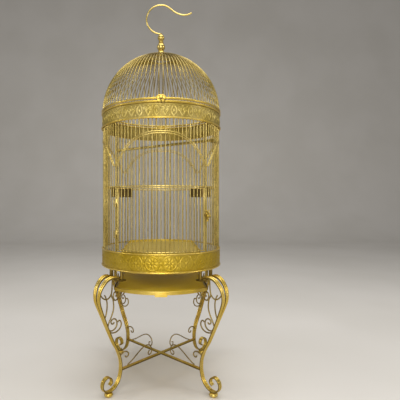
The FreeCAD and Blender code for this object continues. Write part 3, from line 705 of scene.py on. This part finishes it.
# ---------------------------------------------------------------- fluted straps of the stand
def smooth_track(knots: np.ndarray, steps: int) -> np.ndarray:
    """Follow a smooth line through the knots.

    Args:
        knots: One row of numbers for each knot.
        steps: Steps from one knot to the next.

    Returns:
        The rows along the line, with the knots among them.
    """
    padded = np.vstack([2 * knots[0] - knots[1], knots, 2 * knots[-1] - knots[-2]])
    rows = []
    for a, b, c, d in zip(padded, padded[1:], padded[2:], padded[3:]):
        for step in range(steps):
            t = step / steps
            rows.append(0.5 * (2 * b + (c - a) * t + (2 * a - 5 * b + 4 * c - d) * t * t
                               + (3 * b - a - 3 * c + d) * t ** 3))
    rows.append(knots[-1])
    return np.array(rows)


@dataclass(frozen=True)
class FluteSection:
    """Section of a strap with round flutes and sharp grooves on both its faces.

    Attributes:
        flutes: Number of flutes side by side.
        crest: How far a flute of the outer face stands out, as a part of the flute's width.
        inner_crest: The same for the inner face.
        web: Thickness of the metal between the grooves in millimetres.
        steps: Mesh cells across one flute.
    """

    flutes: int = 2
    crest: float = 0.42
    inner_crest: float = 0.22
    web: float = 2.4
    steps: int = 9

    def outline(self) -> tuple[np.ndarray, np.ndarray, np.ndarray, np.ndarray]:
        """Work out the section.

        Returns:
            Place across as a part of the width, the flutes' height as a part of a flute's width,
            the face's own height in millimetres and the painted shade of the grooves, over the
            outer face, back over the inner face and closed.
        """
        part = np.linspace(0.0, self.flutes, self.flutes * self.steps + 1)
        swell = np.abs(np.sin(math.pi * part))
        face = part / self.flutes - 0.5
        across = np.concatenate([face, face[::-1], face[:1]])
        rise = np.concatenate([self.crest * swell ** 0.8, -self.inner_crest * swell, [0.0]])
        level = np.repeat([0.0, -self.web, 0.0], [len(face), len(face), 1])
        # Painted shade: dark in the grooves between the flutes, fading to none on the crests.
        painted_shade = (1.0 - swell) ** 1.4
        return across, rise, level, np.concatenate([painted_shade, painted_shade, painted_shade[:1]])

    def loft(self, name: str, centres: np.ndarray, widths: np.ndarray, side: Vector) -> Object:
        """Draw the section along a line.

        Args:
            name: The piece's name.
            centres: Points of the line in millimetres.
            widths: Width of the strap at each point.
            side: Direction across the strap, square to the line's bends.

        Returns:
            The closed strap.
        """
        across, rise, level, painted_shade = self.outline()
        bpy.ops.object.select_all(action="DESELECT")
        bpy.ops.mesh.primitive_grid_add(x_subdivisions=len(across) - 1,
                                        y_subdivisions=len(centres) - 1, size=1.0)
        strap = named(name)
        along = np.gradient(centres, axis=0)
        along /= np.linalg.norm(along, axis=1)[:, None]
        beside = np.array(side)
        outwards = np.cross(along, beside)
        outwards /= np.linalg.norm(outwards, axis=1)[:, None]
        height = rise * widths[:, None] / self.flutes + level
        place = (centres[:, None, :] + (widths[:, None] * across[None, :])[:, :, None] * beside
                 + height[:, :, None] * outwards[:, None, :]) * MM
        strap.data.vertices.foreach_set("co", place.ravel())
        # The painted shade of the grooves goes into the painted_shade attribute.
        depth = strap.data.attributes.new("painted_shade", "FLOAT", "POINT")
        depth.data.foreach_set("value", np.tile(painted_shade * 0.9, len(centres)))
        choose(strap)
        bpy.ops.object.mode_set(mode="EDIT")
        bpy.ops.mesh.select_all(action="SELECT")
        bpy.ops.mesh.remove_doubles(threshold=1e-6)
        bpy.ops.mesh.select_all(action="DESELECT")
        bpy.ops.mesh.select_mode(type="EDGE")
        bpy.ops.mesh.select_non_manifold(extend=False)
        bpy.ops.mesh.fill_holes(sides=0)
        bpy.ops.mesh.select_all(action="SELECT")
        bpy.ops.mesh.normals_make_consistent(inside=False)
        bpy.ops.mesh.select_mode(type="VERT")
        bpy.ops.object.mode_set(mode="OBJECT")
        return smooth(strap, 42.0)


@dataclass
class ScrolledLegs:
    """The four legs, each of two fluted straps side by side from the bracket to the foot scroll.

    Attributes:
        angles: The side of each leg, in degrees round the axis.
        line: Distance from the axis, height and sideways spread of the straps, in millimetres.
        reach: How far a strap reaches outwards from its line, at the bracket, the shank, the ankle
            and the scroll's end.
        lean: The part of the spread that a strap leaves open on its inner side.
        gap: Half the least gap between the straps.
    """

    angles: tuple[tuple[str, float], ...] = (("front_left", 225.0), ("front_right", 315.0),
                                             ("rear_left", 135.0), ("rear_right", 45.0))
    line: tuple[tuple[float, float, float], ...] = (
        (200, 353, 20.8), (212, 360.5, 18.2), (226, 362, 15.8), (242, 356, 13.2),
        (254, 345, 11.3), (264, 329, 8.8), (268, 312, 6.9), (267, 295, 5.4), (262, 279, 4.0),
        (250, 250, 1.6), (229.5, 203, 0), (208, 157, 0), (193, 131, 0), (182, 102, 0),
        (179, 76, 0), (182, 53, 0), (190.5, 34, 0), (206, 20, 0), (224, 15, 0), (239, 20, 0),
        (247.5, 34, 0), (244, 49.5, 0), (231.5, 58, 0), (219, 52.5, 0), (215.5, 41, 0),
        (223, 33.5, 0))
    reach: tuple[float, float, float, float] = (10.6, 9.4, 7.6, 7.0)
    lean: float = 0.35
    gap: float = 0.4

    def build(self, shop: "PaintShop") -> None:
        """Draw the straps of every leg and dress them.

        Args:
            shop: The paint shop.
        """
        track = smooth_track(np.array(self.line, dtype=float), 8)
        steps = np.linalg.norm(np.diff(track[:, :2], axis=0), axis=1)
        part = np.concatenate([[0.0], np.cumsum(steps)]) / steps.sum()
        inner = self.gap + self.lean * np.maximum(track[:, 2], 0.0)
        outer = np.maximum(track[:, 2], 0.0) + np.interp(part, (0.0, 0.38, 0.62, 1.0), self.reach)
        section = FluteSection()
        for name, angle in self.angles:
            side = round_the_axis(1.0, angle + 90.0, 0.0)
            out = round_the_axis(1.0, angle, 0.0)
            straps = []
            for hand in (1, -1):
                spread = hand * (inner + outer) / 2
                centres = (track[:, :1] * np.array(out) + spread[:, None] * np.array(side)
                           + track[:, 1:2] * np.array((0.0, 0.0, 1.0)))
                straps.append(section.loft("strap", centres, outer - inner, side))
            leg = joined(f"leg_{name}_fluted", straps)
            shop.dress(leg, Finish.STRAP)
            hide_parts(f"leg_{name}")
            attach(leg, Body.STAND.value)
            LOG.info("%s: %d faces", leg.name, len(leg.data.polygons))


@dataclass
class Stretcher:
    """The crossing fluted bars between the ankles.

    Attributes:
        height: Height of the bars' middle in millimetres.
        width: Width of a bar.
        reach: Half length of a bar.
    """

    height: float = 68.0
    width: float = 10.0
    reach: float = 177.5

    def build(self, shop: "PaintShop") -> None:
        """Draw the long bar and the two half bars and dress them.

        Args:
            shop: The paint shop.
        """
        section = FluteSection(web=4.0)
        near = self.width / 2 - 0.3
        runs = {"stretcher_long_bar": ((45.0, -self.reach, self.reach),),
                "stretcher_half_bars": ((135.0, near, self.reach), (315.0, near, self.reach))}
        for node, spans in runs.items():
            bars = []
            for angle, start, end in spans:
                out = np.array(round_the_axis(1.0, angle, 0.0))
                reach = np.linspace(start, end, 40)
                centres = reach[:, None] * out + np.array((0.0, 0.0, self.height))
                bars.append(section.loft("bar", centres, np.full(40, self.width),
                                         round_the_axis(1.0, angle + 90.0, 0.0)))
            piece = joined(f"{node}_fluted", bars)
            shop.dress(piece, Finish.STRAP)
            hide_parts(node)
            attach(piece, Body.STAND.value)
            LOG.info("%s: %d bars", piece.name, len(bars))


# ---------------------------------------------------------------- turned and bent trim
@dataclass
class FinialTrim:
    """Turned rings in the necks of the finial and under the hook.

    Attributes:
        necks: Height and radius of each ring in millimetres.
        thickness: Height of a ring in millimetres.
    """

    necks: tuple[tuple[float, float], ...] = ((1098.0, 15.2), (1113.5, 9.6), (1140.0, 9.4))
    thickness: float = 3.4

    def build(self, shop: "PaintShop") -> None:
        """Turn the rings and dress them.

        Args:
            shop: The paint shop.
        """
        for number, (middle, radius) in enumerate(self.necks, start=1):
            half = self.thickness / 2
            outline = [(4.0, middle - half), (radius - 1.4, middle - half), (radius, middle - 0.5),
                       (radius, middle + 0.5), (radius - 1.4, middle + half), (4.0, middle + half)]
            ring = lathe(f"finial_neck_ring_{number}", outline + outline[:1])
            finish_modifier(ring, "BEVEL", width=0.0006, segments=2, angle_limit=math.radians(30))
            shop.dress(smooth(ring), Finish.TURNED)
            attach(ring, Body.LID.value)
        LOG.info("finial trim: %d rings", len(self.necks))


@dataclass
class CupRim:
    """Rolled edge and two pressed beads round a feeder cup.

    Attributes:
        node: The cup.
        body: The cup's body.
        angle: Where the cup hangs, in degrees.
        back: Distance of the cup's back from the axis in millimetres.
        width: Width along the cage wall.
        depth: Depth towards the axis.
        corner: Radius of the two inner corners.
        height: Height of the cup.
        beads: Distance below the cup's rim and radius of each bead.
    """

    node: str
    body: Body
    angle: float
    back: float = 185.0
    width: float = 86.0
    depth: float = 42.0
    corner: float = 14.0
    height: float = 34.0
    beads: tuple[tuple[float, float], ...] = ((0.6, 1.5), (9.0, 0.8), (27.0, 0.8))

    def outline(self) -> list[tuple[float, float]]:
        """Points round the cup, as distance from the axis and distance sideways."""
        half, front = self.width / 2, self.back - self.depth
        bend = self.corner
        turns = [math.radians(90.0 * step / 4) for step in range(5)]
        points = [(self.back, -half), (self.back, 0.0), (self.back, half),
                  ((self.back + front + bend) / 2, half)]
        points += [(front + bend - bend * math.sin(turn), half - bend + bend * math.cos(turn))
                   for turn in turns]
        points.append((front, 0.0))
        points += [(front + bend - bend * math.cos(turn), -half + bend - bend * math.sin(turn))
                   for turn in turns]
        points.append(((self.back + front + bend) / 2, -half))
        return points

    def build(self, shop: "PaintShop") -> None:
        """Bend the beads and dress them.

        Args:
            shop: The paint shop.
        """
        low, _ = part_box(self.node)
        turn = Matrix.Rotation(math.radians(self.angle), 4, "Z")
        top = low[2] / MM + self.height
        beads = []
        for below, radius in self.beads:
            points = [turn @ Vector((out, side, top - below)) for out, side in self.outline()]
            beads.append(wire("bead", points, radius, sides=2, closed=True, smoothness=4))
        rim = joined(f"{self.node}_beads", beads)
        shop.dress(rim, Finish.BRONZE)
        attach(rim, self.body.value)
        LOG.info("%s: %d beads", rim.name, len(beads))


@dataclass
class ClaspBow:
    """Cast bow on the lid's ring, behind the clasp, round a dark disc of painted shadow in its
    opening.

    Attributes:
        radii: Half width and height of the bow in millimetres.
        bar: Radius of the bow's bar.
    """

    radii: tuple[float, float] = (13.5, 7.2)
    bar: float = 2.1

    def build(self, shop: "PaintShop") -> None:
        """Bend the bow, press the dark disc of painted shadow inside it and dress them.

        Args:
            shop: The paint shop.
        """
        low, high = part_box("lid_ring")
        front, middle = low[1] / MM, (low[2] + high[2]) / 2 / MM + 1.0
        corners = [(math.cos(turn), math.sin(turn))
                   for turn in np.linspace(0.0, 2.0 * math.pi, 12, endpoint=False)]
        bow = wire("clasp_bow", [(x * self.radii[0], front - 0.4, middle + z * self.radii[1])
                                 for x, z in corners], self.bar, closed=True)
        shop.dress(bow, Finish.RING)
        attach(bow, Body.LID.value)
        # Painted shadow: a flat dark disc fills the opening of the bow.
        bpy.ops.object.select_all(action="DESELECT")
        bpy.ops.mesh.primitive_uv_sphere_add(segments=48, ring_count=16, radius=1.0)
        shadow_plate = named("clasp_shadow_plate")
        for vertex in shadow_plate.data.vertices:
            x, y, z = vertex.co
            vertex.co = Vector((x * self.radii[0], front + y, middle + z * self.radii[1])) * MM
        shop.dress(smooth(shadow_plate, 60.0), Finish.DARK)
        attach(shadow_plate, Body.LID.value)
        LOG.info("clasp bow: %d faces", len(bow.data.polygons))


@dataclass
class LatchSpray:
    """Cast spray of buds on the door's lever.

    Attributes:
        pivot: The lever's pivot in metres.
        facing: The direction of the pivot's pin, as an angle in degrees.
        proud: How far the spray's middle stands off the pivot in millimetres.
        buds: Place along the lever's face, height and radius of each bud in millimetres.
    """

    pivot: Point = (0.138906, -0.152122, 0.548)
    facing: float = -47.6
    proud: float = 5.0
    buds: tuple[tuple[float, float, float], ...] = (
        (0.0, 0.0, 4.0), (-6.0, 7.0, 3.0), (-4.0, 15.0, 2.7), (2.5, 11.0, 2.7), (6.5, 15.5, 2.5),
        (7.5, 6.0, 2.7), (10.0, -1.0, 2.6), (2.0, -8.0, 3.0), (-1.5, -15.0, 2.8))

    def build(self, shop: "PaintShop") -> None:
        """Shape the buds and their stems and dress them.

        Args:
            shop: The paint shop.
        """
        out = round_the_axis(1.0, self.facing, 0.0)
        beside = round_the_axis(1.0, self.facing + 90.0, 0.0)
        middle = Vector(self.pivot) / MM + out * self.proud
        buds, stems = [], []
        for along, up, radius in self.buds:
            place = middle + beside * along + Vector((0.0, 0.0, up))
            bpy.ops.object.select_all(action="DESELECT")
            bpy.ops.mesh.primitive_uv_sphere_add(segments=24, ring_count=12, radius=radius * MM,
                                                 location=tuple(place * MM))
            buds.append(smooth(settle(named("bud")), 60.0))
            if buds[1:]:
                bend = (middle + place) / 2 - out * 1.2
                stems.append(wire("stem", [tuple(middle), tuple(bend), tuple(place)], 1.5))
        spray = shop.dress(joined("latch_spray", buds), Finish.RING)
        twigs = shop.dress(joined("latch_spray_stems", stems), Finish.DARK)
        for piece in (spray, twigs):
            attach(piece, Body.LATCH.value)
        LOG.info("latch spray: %d buds", len(buds))


# ---------------------------------------------------------------- studio
@dataclass
class Studio:
    """Plain pale floor and backdrop, soft lights and the camera.

    Attributes:
        camera_at: The camera's place in metres.
        lens: Focal length in millimetres on a 36 mm sensor.
        shift: Sideways and upward shift of the picture.
    """

    camera_at: Point = (0.0, -1.266, 0.591)
    lens: float = 32.85
    shift: tuple[float, float] = (0.0975, 0.00375)

    def build(self) -> None:
        """Make the stage, the lights and the camera."""
        self.floor()
        self.sky()
        self.softbox("front", (-0.3, -3.2, 1.45), (0.0, 0.0, 0.5), 2.0, 40.0,
                     (1.0, 0.97, 0.92))
        self.softbox("low_front", (0.0, -2.4, 0.62), (0.0, 0.0, 0.36), 0.7, 9.0,
                     (1.0, 0.97, 0.92))
        self.softbox("overhead", (0.2, -0.3, 3.2), (0.0, 0.0, 0.5), 2.4, 62.0,
                     (1.0, 0.98, 0.95))
        self.softbox("right", (2.6, -0.9, 1.5), (0.0, 0.0, 0.6), 0.7, 14.0, (1.0, 0.96, 0.9))
        self.softbox("left", (-2.6, -0.6, 1.6), (0.0, 0.0, 0.6), 0.5, 12.0, (1.0, 0.97, 0.92))
        self.camera()

    def floor(self) -> None:
        """Make a floor that curves up into a backdrop."""
        bpy.ops.object.select_all(action="DESELECT")
        bpy.ops.mesh.primitive_grid_add(x_subdivisions=2, y_subdivisions=60, size=1.0)
        sweep = named("studio_sweep")
        run, bend, wall = 4.0, 1.2, 3.6
        for vertex in sweep.data.vertices:
            along = (vertex.co.y + 0.5) * (run + 3.5 + bend * math.pi / 2 + wall) - 3.5
            x = vertex.co.x * 16.0
            if along <= run:
                vertex.co = (x, along, 0.0)
            elif along <= run + bend * math.pi / 2:
                turn = (along - run) / bend
                vertex.co = (x, run + bend * math.sin(turn), bend * (1 - math.cos(turn)))
            else:
                vertex.co = (x, run + bend, along - run - bend * math.pi / 2 + bend)
        smooth(sweep, 60.0)
        material = bpy.data.materials.new("studio_paper")
        material.use_nodes = True
        tools = NodeTools(material.node_tree)
        shader = material.node_tree.nodes["Principled BSDF"]
        place = tools.add("ShaderNodeTexCoord")
        faint = tools.ramp(tools.noise(place.outputs["Object"], 1.5, 2.0), 0.3, 0.7)
        tools.join(tools.mixed(faint, (0.70, 0.68, 0.645), (0.74, 0.72, 0.69)),
                   shader.inputs["Base Color"])
        shader.inputs["Roughness"].default_value = 0.6
        sweep.data.materials.append(material)

    def sky(self) -> None:
        """Fill the room with a dim, even light."""
        world = bpy.data.worlds.new("studio_air")
        world.use_nodes = True
        back = world.node_tree.nodes["Background"]
        back.inputs["Color"].default_value = (1.0, 0.97, 0.93, 1.0)
        back.inputs["Strength"].default_value = 0.26
        bpy.context.scene.world = world
        bpy.context.scene.view_settings.view_transform = "Standard"

    def softbox(self, name: str, place: Point, target: Point, size: float, power: float,
                colour: Point) -> None:
        """Hang a square soft light.

        Args:
            name: The light's name.
            place: Where it hangs.
            target: The point that it faces.
            size: Its side in metres.
            power: Its power in watts.
            colour: Its colour.
        """
        data = bpy.data.lights.new(f"softbox_{name}", "AREA")
        data.size, data.energy, data.color = size, power, colour
        light = bpy.data.objects.new(data.name, data)
        light.location = place
        light.rotation_euler = (Vector(target) - Vector(place)).to_track_quat("-Z", "Y").to_euler()
        bpy.context.scene.collection.objects.link(light)

    def camera(self) -> None:
        """Set up the camera, level and straight on."""
        data = bpy.data.cameras.new("camera")
        data.lens, data.sensor_width = self.lens, 36.0
        data.shift_x, data.shift_y = self.shift
        data.clip_start = 0.01
        camera = bpy.data.objects.new("camera", data)
        camera.location = self.camera_at
        camera.rotation_euler = (math.radians(90.0), 0.0, 0.0)
        bpy.context.scene.collection.objects.link(camera)
        bpy.context.scene.camera = camera


def main() -> None:
    """Build the studio, dress the frame and add every finished piece."""
    logging.basicConfig(level=logging.INFO, format="%(name)s: %(message)s")
    Studio().build()
    shop = PaintShop()
    shop.dress_frame()
    PressedBand("base_band", ROSETTES, (40, 38), rosette_relief, Finish.PRESSED, 0.22).build(shop)
    PressedBand("upper_band", 48, (20, 30), scroll_relief, Finish.SCROLLED, 0.5).build(shop)
    ScrolledLegs().build(shop)
    Stretcher().build(shop)
    FinialTrim().build(shop)
    ClaspBow().build(shop)
    LatchSpray().build(shop)
    CupRim("feeder_cup_left", Body.CUP_LEFT, 150.0).build(shop)
    CupRim("feeder_cup_right", Body.CUP_RIGHT, 30.0).build(shop)


if __name__ == "__main__":
    main()
